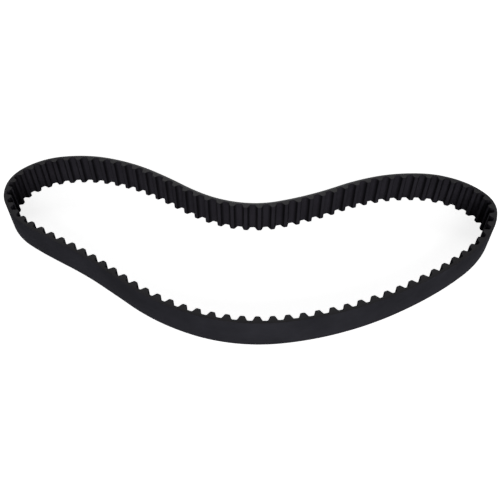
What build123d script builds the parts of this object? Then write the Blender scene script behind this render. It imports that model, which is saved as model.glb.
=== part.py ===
from build123d import *

import os
from math import cos, radians, sin, sqrt, tan

import numpy as np

# Endless toothed timing belt, standing on its cut edge with its teeth inwards.
# +Z runs across the belt, Z = 0 is the edge it stands on, and the origin is in
# the middle of the loop's outer box. Millimetres and degrees.

# ---------------------------------------------------------------- belt section
pitch = 9.525                # from tooth to tooth, along the cords
belt_width = 23.0
tooth_height = 3.3           # from the land to the tip
land_thickness = 2.1         # from the land to the smooth back
tooth_root_width = 6.3       # where the flanks meet the land, before rounding
tooth_tip_width = 2.9        # where the flanks meet the tip, before rounding
tooth_root_radius = 0.9
tooth_tip_radius = 1.1
least_tip_radius = 0.1       # of the rubber core, inside the facing
facing_thickness = 0.25      # nylon facing on the teeth and lands

# -------------------------------------------------------------- tensile cords
cord_diameter = 0.85
cord_cover = 0.12            # rubber between the facing and the cords
cord_spacing = 1.4           # from turn to turn of the winding, across the belt
cord_edge_margin = 0.55      # least rubber between a cut edge and a cord
cord_clearance = 0.02        # round each cord in its tunnel

# -------------------------------------------------------------------- flexing
# The belt bends at the seams between its sections. Both ends at a seam are cut
# back from the pitch line, towards the back and towards the teeth, so that they
# never meet while the seam bends either way.
flex_limit = 15.0            # most that a seam bends, each way
relief_margin = 0.5          # what each end is cut back beyond half of that
seam_gap = 0.10              # between the two ends, at the pitch line

# ----------------------------------------------------------- shape of the loop
# Each section of the belt is a chain of tangent arcs. An arc is a whole number
# of teeth and the turn that it makes, positive where the teeth are on the
# inside of the bend. Seen from above, the sections follow anticlockwise.
start_heading = -31.5        # of the belt where the first section begins
section_arcs = {
    "front_left": [(2, 1.0), (3, -6.0)],
    "front_middle": [(3, -1.0), (5, 17.5), (6, 26.5), (3, 8.0)],
    "front_right": [(5, 11.5)],
    "right_lower": [(4, 7.0), (3, 6.5), (3, 17.0)],
    "right_end": [(2, 21.0), (2, 47.5)],
    "right_upper": [(2, 24.0), (3, 27.5), (4, 19.0), (3, 10.0)],
    "back_right": [(5, -11.5)],
    "dent_right": [(3, -23.5)],
    "dent_left": [(3, -19.0)],
    "back_left": [(2, -7.5), (3, 5.0)],
    "left_upper": [(4, 16.0), (4, 25.0), (3, 36.5)],
    "left_end": [(2, 39.5), (2, 30.0)],
    "left_lower": [(3, 28.0), (2, 4.0)],
}
# The two sections of a pair turn together while the loop flexes. They span
# equal and opposite chords, which keeps the loop closed at every angle.
parallel_pairs = [
    ("front_left", "back_left"),
    ("front_right", "back_right"),
    ("right_end", "left_end"),
]
# The seam that never bends, where the chain of sections is left open.
open_seam = ("dent_right", "dent_left")

# -------------------------------------------------------------- derived sizes
# Offsets are measured from the pitch line, outwards to the smooth back.
cord_radius = cord_diameter / 2
pitch_line_depth = facing_thickness + cord_cover + cord_radius
back_offset = land_thickness - pitch_line_depth
land_offset = -pitch_line_depth
bond_offset = land_offset + facing_thickness
tip_offset = land_offset - tooth_height
flank_slope = (tooth_root_width - tooth_tip_width) / 2 / tooth_height
flank_inset = sqrt(1 + flank_slope**2) - flank_slope  # for each mm of depth
relief_slope = tan(radians(flex_limit / 2 + relief_margin))
cord_band = belt_width - 2 * cord_edge_margin - cord_diameter
cord_count = int(cord_band / cord_spacing) + 1
cord_heights = [
    belt_width / 2 + (turn - (cord_count - 1) / 2) * cord_spacing
    for turn in range(cord_count)
]
tunnel_overrun = 1.0         # how far a cord tunnel is cut beyond the seams

# Closing the loop: rounds of Newton's method, the change in a turn that finds
# each slope, and the turn in radians below which an arc counts as straight.
closing_rounds = 8
trial_turn = 1e-4
straight_turn = 1e-9


# -------------------------------------------------------------- the pitch line
def chord_of(length, turn):
    """Length of the chord of an arc."""
    half = radians(turn) / 2
    return length if abs(half) < straight_turn else length * sin(half) / half


def closing_errors(turns):
    """What the turns miss of a full circle, of closing and of equal chords."""
    heading = 0.0
    spans = {name: np.zeros(2) for name in section_arcs}
    for (name, teeth), turn in zip(arc_teeth, turns):
        middle = radians(heading + turn / 2)
        spans[name] += chord_of(teeth, turn) * np.array([cos(middle), sin(middle)])
        heading += turn
    errors = [radians(heading - 360), *sum(spans.values())]
    for first, second in parallel_pairs:
        errors.extend(spans[first] + spans[second])
    return np.array(errors)


def closed_turns(turns):
    """The turns nearest to the given ones that close the loop."""
    for _ in range(closing_rounds):
        errors = closing_errors(turns)
        slopes = [
            (closing_errors(turns + trial_turn * one) - errors) / trial_turn
            for one in np.eye(len(turns))
        ]
        turns = turns - np.linalg.lstsq(np.array(slopes).T, errors, rcond=None)[0]
    return turns


def lay_out_arcs(x, y):
    """Where each arc starts along the loop that begins at x, y, its place,
    heading and curvature."""
    laid, teeth_before, heading = [], 0, start_heading
    for (_, teeth), turn in zip(arc_teeth, arc_turns):
        length = teeth * pitch
        laid.append((teeth_before * pitch, x, y, heading, turn / length))
        middle = radians(heading + turn / 2)
        x += chord_of(length, turn) * cos(middle)
        y += chord_of(length, turn) * sin(middle)
        heading += turn
        teeth_before += teeth
    return laid


arc_teeth = [(name, teeth) for name, arcs in section_arcs.items() for teeth, _ in arcs]
arc_turns = closed_turns(np.array([t for arcs in section_arcs.values() for _, t in arcs]))
laid_arcs = lay_out_arcs(0.0, 0.0)


def arc_at(along):
    """The arc that holds a distance along the loop."""
    return [arc for arc in laid_arcs if arc[0] <= along][-1]


def point_on(arc, along, offset):
    """The point of an arc at a distance along the loop, moved out by offset."""
    start, x, y, heading, curvature = arc
    turn = curvature * (along - start)
    middle = radians(heading + turn / 2)
    end = radians(heading + turn)
    chord = chord_of(along - start, turn)
    return Vector(
        x + chord * cos(middle) + offset * sin(end),
        y + chord * sin(middle) - offset * cos(end),
    )


def heading_on(arc, along):
    """Direction of the belt at a distance along the loop, as a vector."""
    start, _, _, heading, curvature = arc
    angle = radians(heading + curvature * (along - start))
    return Vector(cos(angle), sin(angle))


def draw_along(start, end, offset):
    """Draw the line at an offset, from start to end, one edge for each arc."""
    low, high = min(start, end), max(start, end)
    stops = [low, *(arc[0] for arc in laid_arcs if low < arc[0] < high), high]
    if end < start:
        stops.reverse()
    for a, b in zip(stops, stops[1:]):
        arc = arc_at((a + b) / 2)
        ThreePointArc(*(point_on(arc, s, offset) for s in (a, (a + b) / 2, b)))


def seam_places():
    """Each section's name, first and last distance along the loop, and teeth."""
    places, teeth_before = {}, 0
    for name, arcs in section_arcs.items():
        teeth = sum(count for count, _ in arcs)
        places[name] = (teeth_before * pitch, (teeth_before + teeth) * pitch, teeth)
        teeth_before += teeth
    return places


sections = seam_places()
with BuildLine() as outer_line:
    draw_along(0.0, pitch * sum(teeth for _, teeth in arc_teeth), back_offset)
middle_of_box = outer_line.line.bounding_box().center()
laid_arcs = lay_out_arcs(-middle_of_box.X, -middle_of_box.Y)


# ------------------------------------------------------------ ends and profiles
def end_setback(name, at_start, offset):
    """How far the end of a section stands back from its seam, at an offset."""
    open_here = name == open_seam[1] if at_start else name == open_seam[0]
    return seam_gap / 2 + (0 if open_here else abs(offset) * relief_slope)


def end_point(name, at_start, offset):
    """The point at an offset on the end face of a section."""
    start, end, _ = sections[name]
    setback = end_setback(name, at_start, offset)
    along = start + setback if at_start else end - setback
    return point_on(arc_at(along), along, offset)


def tooth_places(name):
    """Where the middles of the teeth of a section are along the loop."""
    start, _, teeth = sections[name]
    return [start + (tooth + 0.5) * pitch for tooth in range(teeth)]


def tooth_corners(along, depth):
    """Corners of a tooth, root, tip, tip and root, at a depth below its face."""
    root_reach = tooth_root_width / 2 - depth * flank_inset
    tip_reach = tooth_tip_width / 2 - depth * flank_inset
    arc = arc_at(along)
    tip = point_on(arc, along, tip_offset + depth)
    across = heading_on(arc, along) * tip_reach
    return [
        point_on(arc, along - root_reach, land_offset + depth),
        tip - across,
        tip + across,
        point_on(arc, along + root_reach, land_offset + depth),
    ]


def tooth_radii(depth):
    """Roundings of the corners of a tooth at a depth below its face."""
    root = 0 if depth else tooth_root_radius
    tip = max(tooth_tip_radius - depth, least_tip_radius)
    return [root, tip, tip, root]


def draw_toothed_line(name, depth):
    """Draw a section's toothed side at a depth below its face, end to end."""
    offset = land_offset + depth
    corners = [end_point(name, True, offset)]
    radii = []
    for along in tooth_places(name):
        corners += tooth_corners(along, depth)
        radii += tooth_radii(depth)
    corners.append(end_point(name, False, offset))
    FilletPolyline(*corners, radius=radii)


# ------------------------------------------------------------------- the pieces
def make_backing(name):
    """Rubber back of a section, with a tunnel for each turn of the cord."""
    start, end, _ = sections[name]
    bonded = [end_point(name, False, bond_offset)]
    for along in reversed(tooth_places(name)):
        corners = tooth_corners(along, facing_thickness)
        bonded += [corners[3], corners[0]]
    bonded.append(end_point(name, True, bond_offset))
    first, last = arc_at(start), arc_at(end - pitch)
    with BuildPart() as backing:
        with BuildSketch():
            with BuildLine():
                back_start = start + end_setback(name, True, back_offset)
                back_end = end - end_setback(name, False, back_offset)
                draw_along(back_start, back_end, back_offset)
                Line(end_point(name, False, back_offset), end_point(name, False, 0))
                Line(end_point(name, False, 0), bonded[0])
                Polyline(*bonded)
                Line(bonded[-1], end_point(name, True, 0))
                Line(end_point(name, True, 0), end_point(name, True, back_offset))
            make_face()
        extrude(amount=belt_width)
        with BuildLine() as tunnel:
            lead_in = point_on(first, start, 0) - heading_on(first, start) * tunnel_overrun
            Line(lead_in, point_on(first, start, 0))
            draw_along(start, end, 0)
            Line(
                point_on(last, end, 0),
                point_on(last, end, 0) + heading_on(last, end) * tunnel_overrun,
            )
        with BuildSketch(cord_plane(lead_in, heading_on(first, start))):
            with Locations(*((0, height) for height in cord_heights)):
                Circle(cord_radius + cord_clearance)
        sweep(path=tunnel.line, mode=Mode.SUBTRACT)
    return backing


def cord_plane(origin, direction):
    """Upright plane square to the belt, with the belt's width as its Y."""
    return Plane(origin=origin, x_dir=Vector(-direction.Y, direction.X), z_dir=direction)


def make_cords(name):
    """The turns of the wound cord that lie in a section."""
    start, end, _ = sections[name]
    from_seam = start + end_setback(name, True, cord_radius)
    to_seam = end - end_setback(name, False, cord_radius)
    arc = arc_at(from_seam)
    with BuildPart() as cords:
        with BuildLine() as run:
            draw_along(from_seam, to_seam, 0)
        with BuildSketch(cord_plane(point_on(arc, from_seam, 0), heading_on(arc, from_seam))):
            with Locations(*((0, height) for height in cord_heights)):
                Circle(cord_radius)
        sweep(path=run.line)
    return cords


def make_teeth(name):
    """Rubber cores of the teeth of a section, under their facing."""
    with BuildPart() as teeth:
        for along in tooth_places(name):
            corners = tooth_corners(along, facing_thickness)
            with BuildSketch():
                with BuildLine():
                    FilletPolyline(*corners, radius=tooth_radii(facing_thickness)[1:3])
                    Line(corners[3], corners[0])
                make_face()
            extrude(amount=belt_width)
    return teeth


def make_facing(name):
    """Nylon facing that covers the teeth and lands of a section."""
    with BuildPart() as facing:
        with BuildSketch():
            with BuildLine():
                draw_toothed_line(name, 0)
                draw_toothed_line(name, facing_thickness)
                for at_start in (True, False):
                    Line(
                        end_point(name, at_start, land_offset),
                        end_point(name, at_start, bond_offset),
                    )
            make_face()
        extrude(amount=belt_width)
    return facing


os.makedirs("parts", exist_ok=True)
piece_makers = {
    "backing": make_backing,
    "cords": make_cords,
    "teeth": make_teeth,
    "facing": make_facing,
}
for section in section_arcs:
    for piece, make in piece_makers.items():
        made = make(section)
        made.part.label = f"{section}_{piece}"
        export_step(made.part, f"parts/{section}_{piece}.step")
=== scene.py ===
from math import cos, pi, radians, sin, sqrt

import bmesh
import bpy
import numpy as np
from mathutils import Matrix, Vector


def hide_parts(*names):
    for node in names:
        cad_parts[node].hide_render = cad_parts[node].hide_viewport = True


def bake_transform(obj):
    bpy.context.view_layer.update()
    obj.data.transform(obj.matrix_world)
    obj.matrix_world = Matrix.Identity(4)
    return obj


bl_info = {
    "name": "Toothed belt",
    "version": (1, 0, 0),
    "blender": (4, 5, 0),
    "location": "View3D > Sidebar > Belt",
    "description": "Moulded toothed belt, standing on its cut edge around its CAD frame",
    "category": "Object",
}

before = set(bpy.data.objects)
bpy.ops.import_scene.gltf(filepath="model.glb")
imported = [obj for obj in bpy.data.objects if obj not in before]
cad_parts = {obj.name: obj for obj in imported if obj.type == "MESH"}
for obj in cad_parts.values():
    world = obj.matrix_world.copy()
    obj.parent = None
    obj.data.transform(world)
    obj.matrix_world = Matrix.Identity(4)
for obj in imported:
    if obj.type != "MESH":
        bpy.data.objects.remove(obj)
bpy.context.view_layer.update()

MM = 0.001

# Sections of the belt, anticlockwise from above: chains of tangent arcs, each a
# whole number of teeth and the turn that it makes in degrees.
START_HEADING = -31.5
SECTION_ARCS = {
    "front_left": [(2, 1.0), (3, -6.0)],
    "front_middle": [(3, -1.0), (5, 17.5), (6, 26.5), (3, 8.0)],
    "front_right": [(5, 11.5)],
    "right_lower": [(4, 7.0), (3, 6.5), (3, 17.0)],
    "right_end": [(2, 21.0), (2, 47.5)],
    "right_upper": [(2, 24.0), (3, 27.5), (4, 19.0), (3, 10.0)],
    "back_right": [(5, -11.5)],
    "dent_right": [(3, -23.5)],
    "dent_left": [(3, -19.0)],
    "back_left": [(2, -7.5), (3, 5.0)],
    "left_upper": [(4, 16.0), (4, 25.0), (3, 36.5)],
    "left_end": [(2, 39.5), (2, 30.0)],
    "left_lower": [(3, 28.0), (2, 4.0)],
}
# Sections across the loop from each other, with chords equal and parallel, so that
# each pair swings together and what lies between them shifts without turning.
PARALLEL_PAIRS = [
    ("front_left", "back_left"),
    ("front_right", "back_right"),
    ("right_end", "left_end"),
]
# Each run of the belt spans one joint: its name, the joint's two bodies, and
# how many teeth the run has before and after the seam.
RUNS = [
    ("dent_left", "dent_left", "back_left", 3, 2),
    ("back_left", "back_left", "left_upper", 3, 5),
    ("left_shoulder", "left_upper", "left_end", 6, 2),
    ("left_nose", "left_end", "left_lower", 2, 2),
    ("left_lower", "left_lower", "front_left", 3, 2),
    ("front_left", "front_left", "front_middle", 3, 8),
    ("front_right", "front_middle", "front_right", 9, 2),
    ("right_lower", "front_right", "right_lower", 3, 5),
    ("right_nose", "right_lower", "right_end", 5, 2),
    ("right_shoulder", "right_end", "right_upper", 2, 6),
    ("back_right", "right_upper", "back_right", 6, 2),
    ("dent_right", "back_right", "dent_right", 3, 3),
]

# How the loop is closed.
CLOSING_ROUNDS = 8
TURN_STEP = 1e-4             # degrees, for the slope of the errors
LEAST_SINGULAR = 1e-9        # singular values below this share count as none
TINY = 1e-9                  # turns and lengths below this count as none
OUTLINE_POINTS = 8000

# How finely the meshes are divided.
PATH_STEPS = 24              # points of the pitch line for each tooth
STRAIGHT_STEPS = 3
CURVE_STEPS = 6
BACK_STEPS = 12
CORD_SIDES = 8
CORD_STEPS = 4
WELD_DISTANCE = 0.001 * MM
CUT_FACE_LEVEL = 0.9         # a cut face's normal is at least this far up or down
SHARP_ANGLE = radians(40)

# Patterns of the materials. Noise scales are features for each metre, reliefs are in
# metres, tones multiply the colour, and the other pairs are the ends of a range.
NOISE_RANGE = (0.3, 0.7)     # nearly all of a noise's values
NOISE_ROUGHNESS = 0.55
FINE_DETAIL, COARSE_DETAIL = 3.0, 2.0

BACK_MARKS = (90.0, 3800.0, 1.0)     # along the belt, across it, and unused
BACK_PATCHES, BACK_GRAIN, BACK_RELIEF = 38.0, 2600.0, 0.04 * MM
BACK_TONE, MARKS_TONE, MARKS_SHARE = (0.80, 1.20), (-0.10, 0.10), 0.6

CUT_PATCHES, CUT_GRAIN, CUT_RELIEF = 55.0, 3200.0, 0.05 * MM
CUT_TONE, GRAIN_TONE = (0.82, 1.12), (-0.15, 0.15)

FACING_PATCHES, FACING_FUZZ, WEAVE_RELIEF = 60.0, 3000.0, 0.06 * MM
WEAVE_TONE, FUZZ_TONE, STAIN_TONE = (0.72, 1.10), (-0.12, 0.12), (-0.15, 0.15)
# Painted shade: the facing's colour is darkened on the tooth shoulders, where the flanks turn
# over to the tip.
SHOULDER_SHADE_TONE, SHOULDER_SHADE_RANGE = (1.0, 0.18), (0.15, 0.65)
WEAVE_SHARE = 0.8

CORD_FIBRES, CORD_RELIEF, CORD_TONE = 4200.0, 0.03 * MM, (0.7, 1.15)

MATT_ROUGHNESS, MATT_SPECULAR = (0.86, 1.0), 0.03
DULL_ROUGHNESS, DULL_SPECULAR = (0.40, 0.52), 0.08
CORD_ROUGHNESS = (0.45, 0.7)

# The stage, in metres and watts.
FLOOR_SIZE = 1.25
FLOOR_DROP = 0.1 * MM
FLOOR_WHITE = 0.9
FLOOR_ROUGHNESS = 0.9
FLOOR_LIFT = 0.84            # glow that the camera and reflections see, but not the belt
WORLD_LIGHT = 0.03
LAMPS = [                    # name, place, size and power
    ("key", (0.1, -1.15, 0.5), 0.6, 8.9),
    ("fill", (0.7, -0.8, 0.8), 0.7, 0.3),
    ("back", (0.0, 1.15, 0.5), 0.6, 6.5),
]
CAMERA_EYE = (0.0032, -0.2917, 0.32405)
CAMERA_TARGET = (0.00238, 0.00135, 0.0)
SENSOR_WIDTH, LENS = 36.0, 43.67     # millimetres


class BeltSettings(bpy.types.PropertyGroup):
    """Sizes and colours of the belt."""

    pitch: bpy.props.FloatProperty(
        name="Pitch", description="From tooth to tooth", default=9.525 * MM, unit="LENGTH"
    )
    width: bpy.props.FloatProperty(
        name="Width", description="Across the belt", default=23.0 * MM, unit="LENGTH"
    )
    tooth_height: bpy.props.FloatProperty(
        name="Tooth height", description="From land to tip", default=3.3 * MM, unit="LENGTH"
    )
    land_thickness: bpy.props.FloatProperty(
        name="Land thickness", description="From land to back", default=2.1 * MM, unit="LENGTH"
    )
    root_width: bpy.props.FloatProperty(
        name="Root width", description="Tooth width at the land", default=6.3 * MM,
        unit="LENGTH",
    )
    tip_width: bpy.props.FloatProperty(
        name="Tip width", description="Tooth width at the tip", default=2.9 * MM, unit="LENGTH"
    )
    root_radius: bpy.props.FloatProperty(
        name="Root radius", description="Rounding at the land", default=0.9 * MM, unit="LENGTH"
    )
    tip_radius: bpy.props.FloatProperty(
        name="Tip radius", description="Rounding at the tip", default=1.1 * MM, unit="LENGTH"
    )
    facing: bpy.props.FloatProperty(
        name="Facing", description="Thickness of the nylon facing", default=0.25 * MM,
        unit="LENGTH",
    )
    cord_diameter: bpy.props.FloatProperty(
        name="Cord diameter", description="Tensile cord", default=0.85 * MM, unit="LENGTH"
    )
    cord_cover: bpy.props.FloatProperty(
        name="Cord cover", description="Rubber under the cord", default=0.12 * MM, unit="LENGTH"
    )
    cord_spacing: bpy.props.FloatProperty(
        name="Cord spacing", description="From turn to turn", default=1.4 * MM, unit="LENGTH"
    )
    cord_turns: bpy.props.IntProperty(
        name="Cord turns", description="Turns across the width", default=16, min=1
    )
    yarn_pitch: bpy.props.FloatProperty(
        name="Yarn pitch", description="Weave of the facing", default=0.45 * MM, unit="LENGTH"
    )
    edge_bevel: bpy.props.FloatProperty(
        name="Edge bevel", description="Worn rim of the back", default=0.12 * MM, unit="LENGTH"
    )
    back_colour: bpy.props.FloatVectorProperty(
        name="Back", description="Ground back", subtype="COLOR", size=3,
        default=(0.0275, 0.0272, 0.0332),
    )
    cut_colour: bpy.props.FloatVectorProperty(
        name="Cut edge", description="Cut rubber", subtype="COLOR", size=3,
        default=(0.0245, 0.0236, 0.0260),
    )
    facing_colour: bpy.props.FloatVectorProperty(
        name="Facing colour", description="Nylon facing", subtype="COLOR", size=3,
        default=(0.0310, 0.0288, 0.0360),
    )
    cord_colour: bpy.props.FloatVectorProperty(
        name="Cord colour", description="Glass-fibre cord", subtype="COLOR", size=3,
        default=(0.42, 0.37, 0.28),
    )


def settings():
    """The belt's settings in the open scene."""
    return bpy.context.scene.toothed_belt


# ------------------------------------------------------------------ pitch line
def chord_of(length, turn):
    """Length of the chord of an arc."""
    half = radians(turn) / 2
    return length if abs(half) < TINY else length * sin(half) / half


def arc_list():
    """Section, teeth and turn of each arc, in order."""
    return [(name, n, turn) for name, arcs in SECTION_ARCS.items() for n, turn in arcs]


def closing_errors(turns):
    """What the turns miss of a full circle, of closing and of equal chords."""
    heading = 0.0
    spans = {name: np.zeros(2) for name in SECTION_ARCS}
    for (name, teeth, _), turn in zip(arc_list(), turns):
        middle = radians(heading + turn / 2)
        spans[name] += chord_of(teeth, turn) * np.array([cos(middle), sin(middle)])
        heading += turn
    errors = [radians(heading - 360), *sum(spans.values())]
    for first, second in PARALLEL_PAIRS:
        errors.extend(spans[first] + spans[second])
    return np.array(errors)


def closed_turns():
    """The turns nearest to the given ones that close the loop."""
    turns = np.array([turn for _, _, turn in arc_list()])
    for _ in range(CLOSING_ROUNDS):
        errors = closing_errors(turns)
        slopes = [
            (closing_errors(turns + TURN_STEP * one) - errors) / TURN_STEP
            for one in np.eye(len(turns))
        ]
        turns -= np.linalg.lstsq(np.array(slopes).T, errors, rcond=LEAST_SINGULAR)[0]
    return turns


class PitchLine:
    """The line that the cords follow, as tangent arcs on the floor plane.

    It is placed so that the belt's back, which is back_offset outside it, has its
    middle at the origin.
    """

    def __init__(self, pitch, back_offset):
        self.arcs = []
        teeth_before, x, y, heading = 0, 0.0, 0.0, START_HEADING
        for (_, teeth, _), turn in zip(arc_list(), closed_turns()):
            length = teeth * pitch
            self.arcs.append((teeth_before * pitch, x, y, heading, turn / length))
            middle = radians(heading + turn / 2)
            x += chord_of(length, turn) * cos(middle)
            y += chord_of(length, turn) * sin(middle)
            heading += turn
            teeth_before += teeth
        self.teeth = teeth_before
        self.length = teeth_before * pitch
        places = np.linspace(0, self.length, OUTLINE_POINTS)[:-1]
        outline = np.array([self.point(along, back_offset) for along in places])
        middle = (outline.min(0) + outline.max(0)) / 2
        self.arcs = [(s, x - middle[0], y - middle[1], h, k) for s, x, y, h, k in self.arcs]

    def frame(self, along):
        """Arc position and heading at a distance along the line."""
        along = along % self.length
        reached = [arc for arc in self.arcs if arc[0] <= along + TINY]
        start, x, y, heading, curvature = reached[-1]
        turn = curvature * (along - start)
        chord = chord_of(along - start, turn)
        middle = radians(heading + turn / 2)
        return x + chord * cos(middle), y + chord * sin(middle), radians(heading + turn)

    def point(self, along, offset=0.0):
        """Point at a distance along the line, moved out by offset."""
        x, y, heading = self.frame(along)
        return np.array([x + offset * sin(heading), y - offset * cos(heading)])


def first_tooth(section):
    """How many teeth stand before a section."""
    before = 0
    for name, arcs in SECTION_ARCS.items():
        if name == section:
            return before
        before += sum(n for n, _ in arcs)
    raise ValueError(section)


# ------------------------------------------------------------------- profiles
def spread(a, b, steps):
    """Points from a to b, evenly spaced, with both ends."""
    a, b = np.array(a), np.array(b)
    return [a + (b - a) * i / steps for i in range(steps + 1)]


def rounded(points, radii):
    """Polyline through the points, its inner corners rounded, its straights divided."""
    points = [np.array(point) for point in points]
    out = [points[0]]
    for before, corner, after, radius in zip(points, points[1:], points[2:], radii):
        u, v = before - corner, after - corner
        u, v = u / np.linalg.norm(u), v / np.linalg.norm(v)
        half = np.arccos(u @ v) / 2
        reach = radius / np.tan(half)
        centre = corner + (u + v) / np.linalg.norm(u + v) * radius / np.sin(half)
        entry, leave = corner + u * reach, corner + v * reach
        out += spread(out[-1], entry, STRAIGHT_STEPS)[1:-1]
        for sweep in spread(entry - centre, leave - centre, CURVE_STEPS):
            out.append(centre + sweep / np.linalg.norm(sweep) * radius)
    return out + spread(out[-1], points[-1], STRAIGHT_STEPS)[1:]


class Section:
    """One pitch of the belt seen from its edge, with the tooth in the middle.

    Heights are out from the pitch line: the back is above it, and the facing's
    lands, its bond to the rubber and the tooth tips are below it.
    """

    def __init__(self, s):
        self.s = s
        depth = s.facing + s.cord_cover + s.cord_diameter / 2
        self.back = s.land_thickness - depth
        self.land = -depth
        self.bond = self.land + s.facing
        self.tip = self.land - s.tooth_height
        slope = (s.root_width - s.tip_width) / 2 / s.tooth_height
        self.flank = slope - sqrt(1 + slope**2)

    def contour(self, depth):
        """Toothed line of one pitch, a depth below the facing's surface.

        It comes in three parts: a land, the tooth and a land.
        """
        s = self.s
        root = s.root_width / 2 + depth * self.flank
        tip = s.tip_width / 2 + depth * self.flank
        half, land, top = s.pitch / 2, self.land + depth, self.tip + depth
        foot, crown = s.root_radius + depth, s.tip_radius - depth
        corners = [
            (-half, land), (-root, land), (-tip, top), (tip, top), (root, land), (half, land)
        ]
        line = rounded(corners, [foot, crown, crown, foot])
        ends = STRAIGHT_STEPS
        return line[:ends], line[ends:-ends], line[-ends:]


# ----------------------------------------------------------------- cell meshes
def cell_object(name, rings, closed, run=None, shoulder=None):
    """One pitch of the belt as a mesh: rings of points, one after another along it.

    run is how far each ring is along the surface, for the weave's map, and
    shoulder is how near it is to where the flanks turn over to the tip, which
    sets where painted shade darkens the facing's colour.
    """
    bm = bmesh.new()
    # Layer for the mask of the facing's painted shade.
    near = bm.verts.layers.float.new("shoulder")
    uv = bm.loops.layers.uv.new("surface")
    made = [[bm.verts.new(point) for point in ring] for ring in rings]
    for ring, value in zip(made, shoulder or []):
        for vert in ring:
            vert[near] = value
    count = len(rings[0])
    for k, (ring, after) in enumerate(zip(made, made[1:])):
        for i in range(count):
            j = (i + 1) % count
            face = bm.faces.new((ring[i], after[i], after[j], ring[j]))
            face.smooth = True
            if run is not None:
                for loop, u in zip(face.loops, (run[k], run[k + 1], run[k + 1], run[k])):
                    loop[uv].uv = (u, loop.vert.co.z)
    if closed:
        bm.faces.new(made[0])
        bm.faces.new(list(reversed(made[-1])))
    return mesh_object(name, bm)


def mesh_object(name, bm):
    """A new object at the origin that holds the bmesh."""
    mesh = bpy.data.meshes.new(name)
    bm.to_mesh(mesh)
    bm.free()
    obj = bpy.data.objects.new(name, mesh)
    bpy.context.scene.collection.objects.link(obj)
    return obj


def backing_cell(section):
    """Rubber between the facing and the back, with a worn rim along each edge."""
    s = section.s
    high, rim = s.width, s.edge_bevel
    soft = rim * (1 - sqrt(0.5))
    ring = [
        (section.bond, 0.0),
        (section.back - rim, 0.0),
        (section.back - soft, soft),
        (section.back, rim),
        (section.back, high - rim),
        (section.back - soft, high - soft),
        (section.back - rim, high),
        (section.bond, high),
    ]
    along = np.linspace(-s.pitch / 2, s.pitch / 2, BACK_STEPS + 1)
    rings = [[(x, y, z) for y, z in ring] for x in along]
    return cell_object("backing_cell", rings, False, run=list(along + s.pitch / 2))


def tooth_cell(section):
    """Rubber core of one tooth, under its facing."""
    _, tooth, _ = section.contour(section.s.facing)
    base = spread(tooth[-1], tooth[0], 2 * STRAIGHT_STEPS)[1:-1]
    outline = [*tooth, *base]
    rings = [[(x, y, z) for x, y in outline] for z in (0.0, section.s.width)]
    return cell_object("tooth_cell", rings, True)


def facing_cell(section):
    """Nylon facing over one tooth and half a land on either side of it."""
    outer = [p for part in section.contour(0.0) for p in part]
    inner = [p for part in section.contour(section.s.facing) for p in part]
    high = section.s.width
    rings = [[(*a, 0.0), (*a, high), (*b, high), (*b, 0.0)] for a, b in zip(outer, inner)]
    steps = np.linalg.norm(np.diff(np.array(outer), axis=0), axis=1)
    run = np.r_[0.0, np.cumsum(steps)]
    yarns = round(run[-1] / section.s.yarn_pitch)
    heights = section.land - np.array(outer)[:, 1]
    # Mask of painted shade: highest on the steep upper flanks, none on the lands.
    shoulder = np.abs(np.gradient(heights, run)) * heights / section.s.tooth_height
    return cell_object(
        "facing_cell", rings, False, run=list(run / run[-1] * yarns), shoulder=list(shoulder)
    )


def cord_cell(section):
    """One pitch of every turn of the cord."""
    s = section.s
    bm = bmesh.new()
    along = np.linspace(-s.pitch / 2, s.pitch / 2, CORD_STEPS + 1)
    radius = s.cord_diameter / 2
    angles = [2 * pi * i / CORD_SIDES for i in range(CORD_SIDES)]
    circle = [(radius * cos(angle), radius * sin(angle)) for angle in angles]
    for turn in range(s.cord_turns):
        height = s.width / 2 + (turn - (s.cord_turns - 1) / 2) * s.cord_spacing
        rings = [[bm.verts.new((x, y, height + z)) for y, z in circle] for x in along]
        for ring, after in zip(rings, rings[1:]):
            for i in range(CORD_SIDES):
                j = (i + 1) % CORD_SIDES
                bm.faces.new((ring[i], after[i], after[j], ring[j])).smooth = True
    return mesh_object("cord_cell", bm)


# -------------------------------------------------------------- geometry nodes
class Tree:
    """Short words for building a node tree."""

    def __init__(self, tree):
        self.tree = tree

    def add(self, kind, options=None, **inputs):
        """A new node with its options, and its inputs by name linked or set."""
        node = self.tree.nodes.new(kind)
        for key, value in (options or {}).items():
            setattr(node, key, value)
        for key, value in inputs.items():
            self.put(node, key.replace("_", " "), value)
        return node

    def put(self, node, key, value):
        """Link or set one input, by its name or number."""
        socket = node.inputs[key]
        if isinstance(value, bpy.types.NodeSocket):
            self.tree.links.new(value, socket)
        else:
            socket.default_value = value

    def maths(self, operation, *values):
        """A Math node's result."""
        node = self.add("ShaderNodeMath", {"operation": operation})
        for i, value in enumerate(values):
            self.put(node, i, value)
        return node.outputs[0]

    def vector(self, operation, *values):
        """A Vector Math node's result."""
        node = self.add("ShaderNodeVectorMath", {"operation": operation})
        for i, value in enumerate(values):
            self.put(node, i, value)
        return node.outputs[0]

    def scaled(self, vector, factor):
        """A vector times a number."""
        node = self.add("ShaderNodeVectorMath", {"operation": "SCALE"})
        self.put(node, "Vector", vector)
        self.put(node, "Scale", factor)
        return node.outputs[0]


WRAP_INPUTS = [
    ("Geometry", "NodeSocketGeometry"),
    ("Pitch line", "NodeSocketObject"),
    ("Line length", "NodeSocketFloat"),
    ("Pitch", "NodeSocketFloat"),
    ("First tooth", "NodeSocketInt"),
    ("Teeth", "NodeSocketInt"),
    ("Land offset", "NodeSocketFloat"),
    ("Tooth height", "NodeSocketFloat"),
    ("Face material", "NodeSocketMaterial"),
    ("Cut material", "NodeSocketMaterial"),
]


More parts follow.
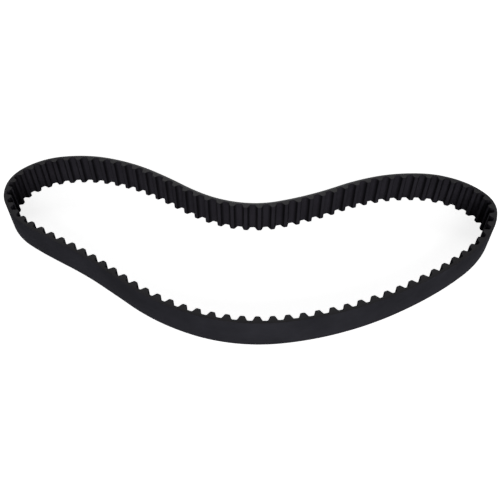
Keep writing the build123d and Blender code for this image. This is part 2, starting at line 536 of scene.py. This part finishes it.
def wrap_tree():
    """Repeats a cell once for each tooth and wraps the row round the pitch line.

    A tooth keeps its own shape: its tip follows the place of the tooth's middle,
    and its root follows the line.
    """
    group = bpy.data.node_groups.new("Wrap round the pitch line", "GeometryNodeTree")
    for name, kind in WRAP_INPUTS:
        group.interface.new_socket(name=name, in_out="INPUT", socket_type=kind)
    group.interface.new_socket(
        name="Geometry", in_out="OUTPUT", socket_type="NodeSocketGeometry"
    )
    t = Tree(group)
    given = t.add("NodeGroupInput").outputs
    pitch = given["Pitch"]
    middle = t.maths("MULTIPLY", t.maths("ADD", given["First tooth"], 0.5), pitch)
    row = t.add(
        "GeometryNodeMeshLine",
        Count=given["Teeth"],
        Start_Location=t.add("ShaderNodeCombineXYZ", X=middle).outputs[0],
        Offset=t.add("ShaderNodeCombineXYZ", X=pitch).outputs[0],
    )
    cells = t.add(
        "GeometryNodeInstanceOnPoints", Points=row.outputs[0], Instance=given["Geometry"]
    )
    joined = t.add("GeometryNodeRealizeInstances", Geometry=cells.outputs[0])
    welded = t.add(
        "GeometryNodeMergeByDistance", Geometry=joined.outputs[0], Distance=WELD_DISTANCE
    )
    place = t.add(
        "ShaderNodeSeparateXYZ", Vector=t.add("GeometryNodeInputPosition").outputs[0]
    ).outputs
    tooth = t.maths("FLOOR", t.maths("DIVIDE", place["X"], pitch))
    centre = t.maths("MULTIPLY", t.maths("ADD", tooth, 0.5), pitch)
    line = t.add("GeometryNodeObjectInfo", Object=given["Pitch line"]).outputs["Geometry"]

    def carried(along):
        """Where the line carries a point of this height, and its heading there."""
        turns = t.maths("DIVIDE", along, given["Line length"])
        sample = t.add(
            "GeometryNodeSampleCurve",
            {"mode": "FACTOR", "use_all_curves": False},
            Curves=line,
            Factor=t.maths("FLOORED_MODULO", turns, 1.0),
        ).outputs
        outward = t.vector("CROSS_PRODUCT", sample["Tangent"], (0.0, 0.0, 1.0))
        moved = t.vector("ADD", sample["Position"], t.scaled(outward, place["Y"]))
        return moved, sample["Tangent"]

    bent, _ = carried(place["X"])
    middle_place, heading = carried(centre)
    ahead = t.maths("SUBTRACT", place["X"], centre)
    stiff = t.vector("ADD", middle_place, t.scaled(heading, ahead))
    rise = t.maths("SUBTRACT", given["Land offset"], place["Y"])
    share = t.add(
        "ShaderNodeClamp", Value=t.maths("DIVIDE", rise, given["Tooth height"])
    ).outputs[0]
    # The Mix node's sockets have one name for all types, so the vector's go by number.
    mixed = t.add("ShaderNodeMix", {"data_type": "VECTOR"})
    for number, value in ((0, share), (4, bent), (5, stiff)):
        t.put(mixed, number, value)
    lifted = t.vector(
        "ADD", mixed.outputs[1], t.add("ShaderNodeCombineXYZ", Z=place["Z"]).outputs[0]
    )
    wrapped = t.add("GeometryNodeSetPosition", Geometry=welded.outputs[0], Position=lifted)
    real = t.add("GeometryNodeRealizeInstances", Geometry=wrapped.outputs[0])
    faced = t.add(
        "GeometryNodeSetMaterial", Geometry=real.outputs[0], Material=given["Face material"]
    )
    normal = t.add(
        "ShaderNodeSeparateXYZ", Vector=t.add("GeometryNodeInputNormal").outputs[0]
    ).outputs["Z"]
    level = t.add(
        "FunctionNodeCompare", {"data_type": "FLOAT", "operation": "GREATER_THAN"}
    )
    t.put(level, "A", t.maths("ABSOLUTE", normal))
    t.put(level, "B", CUT_FACE_LEVEL)
    cut = t.add(
        "GeometryNodeSetMaterial",
        Geometry=faced.outputs[0],
        Selection=level.outputs[0],
        Material=given["Cut material"],
    )
    t.add("NodeGroupOutput", Geometry=cut.outputs[0])
    return group


def pitch_line_object(line):
    """The pitch line as a closed curve of short straight steps."""
    curve = bpy.data.curves.new("pitch_line", "CURVE")
    curve.dimensions = "3D"
    count = line.teeth * PATH_STEPS
    spline = curve.splines.new("POLY")
    spline.points.add(count - 1)
    for i, point in enumerate(spline.points):
        x, y = line.point(line.length * i / count)
        point.co = (x, y, 0.0, 1.0)
    spline.use_cyclic_u = True
    obj = bpy.data.objects.new("pitch_line", curve)
    bpy.context.scene.collection.objects.link(obj)
    return obj


def baked(obj, name):
    """The object's evaluated mesh as a new plain object, its ends closed."""
    depsgraph = bpy.context.evaluated_depsgraph_get()
    mesh = bpy.data.meshes.new_from_object(
        obj.evaluated_get(depsgraph), preserve_all_data_layers=True, depsgraph=depsgraph
    )
    bm = bmesh.new()
    bm.from_mesh(mesh)
    open_edges = [edge for edge in bm.edges if edge.is_boundary]
    bmesh.ops.holes_fill(bm, edges=open_edges, sides=0)
    bmesh.ops.recalc_face_normals(bm, faces=bm.faces)
    bm.to_mesh(mesh)
    bm.free()
    mesh.set_sharp_from_angle(angle=SHARP_ANGLE)
    mesh.name = name
    made = bpy.data.objects.new(name, mesh)
    bpy.context.scene.collection.objects.link(made)
    return made


def make_runs(kind, cell, face_material, cut_material):
    """One piece of the belt for each run, wrapped and closed, with its two bodies' CAD parts
    hidden.
    """
    s = settings()
    section = Section(s)
    line = PitchLine(s.pitch, section.back)
    path = pitch_line_object(line)
    tree = wrap_tree()
    cell.data.materials.append(face_material)
    keys = {
        item.name: item.identifier
        for item in tree.interface.items_tree
        if item.in_out == "INPUT"
    }
    for name, before_body, after_body, before, after in RUNS:
        seam = first_tooth(after_body)
        modifier = cell.modifiers.new("wrap", "NODES")
        modifier.node_group = tree
        values = {
            "Pitch line": path,
            "Line length": line.length,
            "Pitch": s.pitch,
            "First tooth": seam - before,
            "Teeth": before + after,
            "Land offset": section.land,
            "Tooth height": s.tooth_height,
            "Face material": face_material,
            "Cut material": cut_material,
        }
        for key, value in values.items():
            modifier[keys[key]] = value
        piece = baked(cell, f"{kind}_{name}_run")
        cell.modifiers.remove(modifier)
        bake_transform(piece)
        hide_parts(f"{before_body}_{kind}", f"{after_body}_{kind}")
    bpy.data.objects.remove(cell)
    bpy.data.objects.remove(path)


# ------------------------------------------------------------------- materials
def new_material(name):
    """A new material, the words for its node tree, and its shader."""
    material = bpy.data.materials.new(name)
    material.use_nodes = True
    t = Tree(material.node_tree)
    shader = material.node_tree.nodes["Principled BSDF"]
    return material, t, shader


def noise(t, vector, scale, detail=FINE_DETAIL):
    """A noise pattern's value."""
    return t.add(
        "ShaderNodeTexNoise",
        Vector=vector,
        Scale=scale,
        Detail=detail,
        Roughness=NOISE_ROUGHNESS,
    ).outputs[0]


def remap(t, value, low, high, start=0.0, end=1.0):
    """A value between start and end, moved to between low and high."""
    node = t.add(
        "ShaderNodeMapRange", From_Min=start, From_Max=end, To_Min=low, To_Max=high
    )
    t.put(node, "Value", value)
    return node.outputs[0]


def tinted(t, colour, factor):
    """A colour made lighter or darker by a factor."""
    return t.scaled(tuple(colour), factor)


def mixture(t, first, second, share):
    """Two values mixed, with this share of the first."""
    return t.maths(
        "ADD", t.maths("MULTIPLY", first, share), t.maths("MULTIPLY", second, 1 - share)
    )


def bump(t, shader, height, distance):
    """Bumps of a height in metres on the shader."""
    node = t.add("ShaderNodeBump", Strength=1.0, Distance=distance, Height=height)
    t.put(shader, "Normal", node.outputs[0])


def ground_rubber(colour):
    """The back: ground smooth along the belt, matt, a little uneven in tone."""
    material, t, shader = new_material("ground_rubber")
    place = t.add("ShaderNodeTexCoord").outputs["Object"]
    surface = t.add("ShaderNodeUVMap", {"uv_map": "surface"}).outputs[0]
    marks = noise(t, t.vector("MULTIPLY", surface, BACK_MARKS), 1.0)
    patches = noise(t, place, BACK_PATCHES)
    grain = noise(t, place, BACK_GRAIN, COARSE_DETAIL)
    tone = t.maths(
        "ADD", remap(t, patches, *BACK_TONE, *NOISE_RANGE), remap(t, marks, *MARKS_TONE)
    )
    t.put(shader, "Base Color", tinted(t, colour, tone))
    uneven = mixture(t, patches, grain, 0.5)
    t.put(shader, "Roughness", remap(t, uneven, *MATT_ROUGHNESS, *NOISE_RANGE))
    shader.inputs["Specular IOR Level"].default_value = MATT_SPECULAR
    bump(t, shader, mixture(t, marks, grain, MARKS_SHARE), BACK_RELIEF)
    return material


def cut_rubber(colour):
    """The edges, slit with a knife: dull and finely grained."""
    material, t, shader = new_material("cut_rubber")
    place = t.add("ShaderNodeTexCoord").outputs["Object"]
    patches = noise(t, place, CUT_PATCHES)
    grain = noise(t, place, CUT_GRAIN)
    tone = t.maths(
        "ADD", remap(t, patches, *CUT_TONE, *NOISE_RANGE), remap(t, grain, *GRAIN_TONE)
    )
    t.put(shader, "Base Color", tinted(t, colour, tone))
    t.put(shader, "Roughness", remap(t, grain, *DULL_ROUGHNESS))
    shader.inputs["Specular IOR Level"].default_value = DULL_SPECULAR
    bump(t, shader, grain, CUT_RELIEF)
    return material


def nylon_facing(colour):
    """Plain-woven nylon, soaked with rubber: matt, and darkest on the tooth shoulders, where
    shade is painted into its colour.
    """
    material, t, shader = new_material("nylon_facing")
    place = t.add("ShaderNodeTexCoord").outputs["Object"]
    surface = t.add("ShaderNodeUVMap", {"uv_map": "surface"}).outputs[0]
    across = t.add("ShaderNodeSeparateXYZ", Vector=surface).outputs
    u = across["X"]
    v = t.maths("DIVIDE", across["Y"], settings().yarn_pitch)
    ridge_u = t.maths("ABSOLUTE", t.maths("SINE", t.maths("MULTIPLY", u, pi)))
    ridge_v = t.maths("ABSOLUTE", t.maths("SINE", t.maths("MULTIPLY", v, pi)))
    yarns = t.maths("ADD", t.maths("FLOOR", u), t.maths("FLOOR", v))
    over = t.maths("FLOORED_MODULO", yarns, 2.0)
    under = t.maths("SUBTRACT", 1.0, over)
    weave = t.maths(
        "ADD", t.maths("MULTIPLY", over, ridge_u), t.maths("MULTIPLY", under, ridge_v)
    )
    patches = noise(t, place, FACING_PATCHES)
    fuzz = noise(t, place, FACING_FUZZ)
    tone = t.maths(
        "ADD",
        t.maths("ADD", remap(t, weave, *WEAVE_TONE), remap(t, fuzz, *FUZZ_TONE)),
        remap(t, patches, *STAIN_TONE, *NOISE_RANGE),
    )
    # Painted shade: the shoulder mask darkens the facing's colour towards the tooth tips.
    shoulder = t.add("ShaderNodeAttribute", {"attribute_name": "shoulder"}).outputs["Fac"]
    darker = remap(t, shoulder, *SHOULDER_SHADE_TONE, *SHOULDER_SHADE_RANGE)
    t.put(shader, "Base Color", tinted(t, colour, t.maths("MULTIPLY", tone, darker)))
    t.put(shader, "Roughness", remap(t, fuzz, *MATT_ROUGHNESS))
    shader.inputs["Specular IOR Level"].default_value = MATT_SPECULAR
    bump(t, shader, mixture(t, weave, fuzz, WEAVE_SHARE), WEAVE_RELIEF)
    return material


def glass_cord(colour):
    """Twisted glass fibre, treated to bond with the rubber."""
    material, t, shader = new_material("glass_cord")
    place = t.add("ShaderNodeTexCoord").outputs["Object"]
    fibres = noise(t, place, CORD_FIBRES)
    t.put(shader, "Base Color", tinted(t, colour, remap(t, fibres, *CORD_TONE)))
    t.put(shader, "Roughness", remap(t, fibres, *CORD_ROUGHNESS))
    bump(t, shader, fibres, CORD_RELIEF)
    return material


# ------------------------------------------------------------------- operators
class BeltOperator:
    """What the belt's operators share."""

    bl_options = {"REGISTER", "UNDO"}


class BELT_OT_backing(BeltOperator, bpy.types.Operator):
    """Make the rubber backing with its smooth back and cut edges."""

    bl_idname = "belt.backing"
    bl_label = "Backing"

    def execute(self, context):
        s = settings()
        ground, cut = ground_rubber(s.back_colour), cut_rubber(s.cut_colour)
        make_runs("backing", backing_cell(Section(s)), ground, cut)
        return {"FINISHED"}


class BELT_OT_teeth(BeltOperator, bpy.types.Operator):
    """Make the rubber cores of the teeth."""

    bl_idname = "belt.teeth"
    bl_label = "Teeth"

    def execute(self, context):
        rubber = cut_rubber(settings().cut_colour)
        make_runs("teeth", tooth_cell(Section(settings())), rubber, rubber)
        return {"FINISHED"}


class BELT_OT_facing(BeltOperator, bpy.types.Operator):
    """Make the woven facing over the teeth and lands."""

    bl_idname = "belt.facing"
    bl_label = "Facing"

    def execute(self, context):
        woven = nylon_facing(settings().facing_colour)
        make_runs("facing", facing_cell(Section(settings())), woven, woven)
        return {"FINISHED"}


class BELT_OT_cords(BeltOperator, bpy.types.Operator):
    """Make the turns of the tensile cord inside the rubber."""

    bl_idname = "belt.cords"
    bl_label = "Cords"

    def execute(self, context):
        glass = glass_cord(settings().cord_colour)
        make_runs("cords", cord_cell(Section(settings())), glass, glass)
        return {"FINISHED"}


# ----------------------------------------------------------------------- stage
def look_at(obj, eye, target):
    """Place obj at eye, looking at target, upright."""
    direction = Vector(target) - Vector(eye)
    obj.location = eye
    obj.rotation_euler = direction.to_track_quat("-Z", "Y").to_euler()


def soft_box(name, eye, size, power):
    """A large square lamp that faces the belt."""
    lamp = bpy.data.lights.new(name, "AREA")
    lamp.size, lamp.energy = size, power
    obj = bpy.data.objects.new(name, lamp)
    bpy.context.scene.collection.objects.link(obj)
    look_at(obj, eye, (0, 0, 0))


def seen_ray(t):
    """One for a ray of the camera, a reflection or a transmission."""
    path = t.add("ShaderNodeLightPath").outputs
    seen = t.maths("MAXIMUM", path["Is Camera Ray"], path["Is Glossy Ray"])
    return t.maths("MAXIMUM", seen, path["Is Transmission Ray"])


class BELT_OT_stage(BeltOperator, bpy.types.Operator):
    """Set up the floor, the light and the camera."""

    bl_idname = "belt.stage"
    bl_label = "Stage"

    def execute(self, context):
        scene = context.scene
        scene.view_settings.view_transform = "Standard"
        bm = bmesh.new()
        bmesh.ops.create_grid(bm, x_segments=1, y_segments=1, size=FLOOR_SIZE)
        bmesh.ops.translate(bm, verts=bm.verts, vec=(0, 0, -FLOOR_DROP))
        floor = mesh_object("floor", bm)
        paper, t, shader = new_material("white_paper")
        shader.inputs["Base Color"].default_value = (FLOOR_WHITE, FLOOR_WHITE, FLOOR_WHITE, 1)
        shader.inputs["Roughness"].default_value = FLOOR_ROUGHNESS
        shader.inputs["Emission Color"].default_value = (1, 1, 1, 1)
        t.put(shader, "Emission Strength", t.maths("MULTIPLY", seen_ray(t), FLOOR_LIFT))
        floor.data.materials.append(paper)

        world = bpy.data.worlds.new("studio")
        scene.world = world
        world.use_nodes = True
        t = Tree(world.node_tree)
        sky = world.node_tree.nodes["Background"]
        sky.inputs["Color"].default_value = (1, 1, 1, 1)
        t.put(sky, "Strength", remap(t, seen_ray(t), WORLD_LIGHT, 1.0))

        for name, eye, size, power in LAMPS:
            soft_box(name, eye, size, power)

        camera = bpy.data.objects.new("camera", bpy.data.cameras.new("camera"))
        scene.collection.objects.link(camera)
        camera.data.sensor_width = SENSOR_WIDTH
        camera.data.lens = LENS
        look_at(camera, CAMERA_EYE, CAMERA_TARGET)
        scene.camera = camera
        return {"FINISHED"}


# ----------------------------------------------------------------------- panel
class VIEW3D_PT_toothed_belt(bpy.types.Panel):
    """The belt's sizes, colours and steps."""

    bl_label = "Toothed belt"
    bl_space_type = "VIEW_3D"
    bl_region_type = "UI"
    bl_category = "Belt"

    def draw(self, context):
        for name in BeltSettings.__annotations__:
            self.layout.prop(settings(), name)
        for operator in OPERATORS:
            self.layout.operator(operator.bl_idname)


OPERATORS = [
    BELT_OT_backing,
    BELT_OT_teeth,
    BELT_OT_facing,
    BELT_OT_cords,
    BELT_OT_stage,
]
CLASSES = [BeltSettings, *OPERATORS, VIEW3D_PT_toothed_belt]


def register():
    """Make Blender know the classes and the belt's settings."""
    for cls in CLASSES:
        bpy.utils.register_class(cls)
    bpy.types.Scene.toothed_belt = bpy.props.PointerProperty(type=BeltSettings)


def unregister():
    """Take the settings and the classes away again."""
    del bpy.types.Scene.toothed_belt
    for cls in reversed(CLASSES):
        bpy.utils.unregister_class(cls)


def main():
    """Build the belt and its stage."""
    register()
    bpy.ops.belt.backing()
    bpy.ops.belt.teeth()
    bpy.ops.belt.facing()
    bpy.ops.belt.cords()
    bpy.ops.belt.stage()


if __name__ == "__main__":
    main()
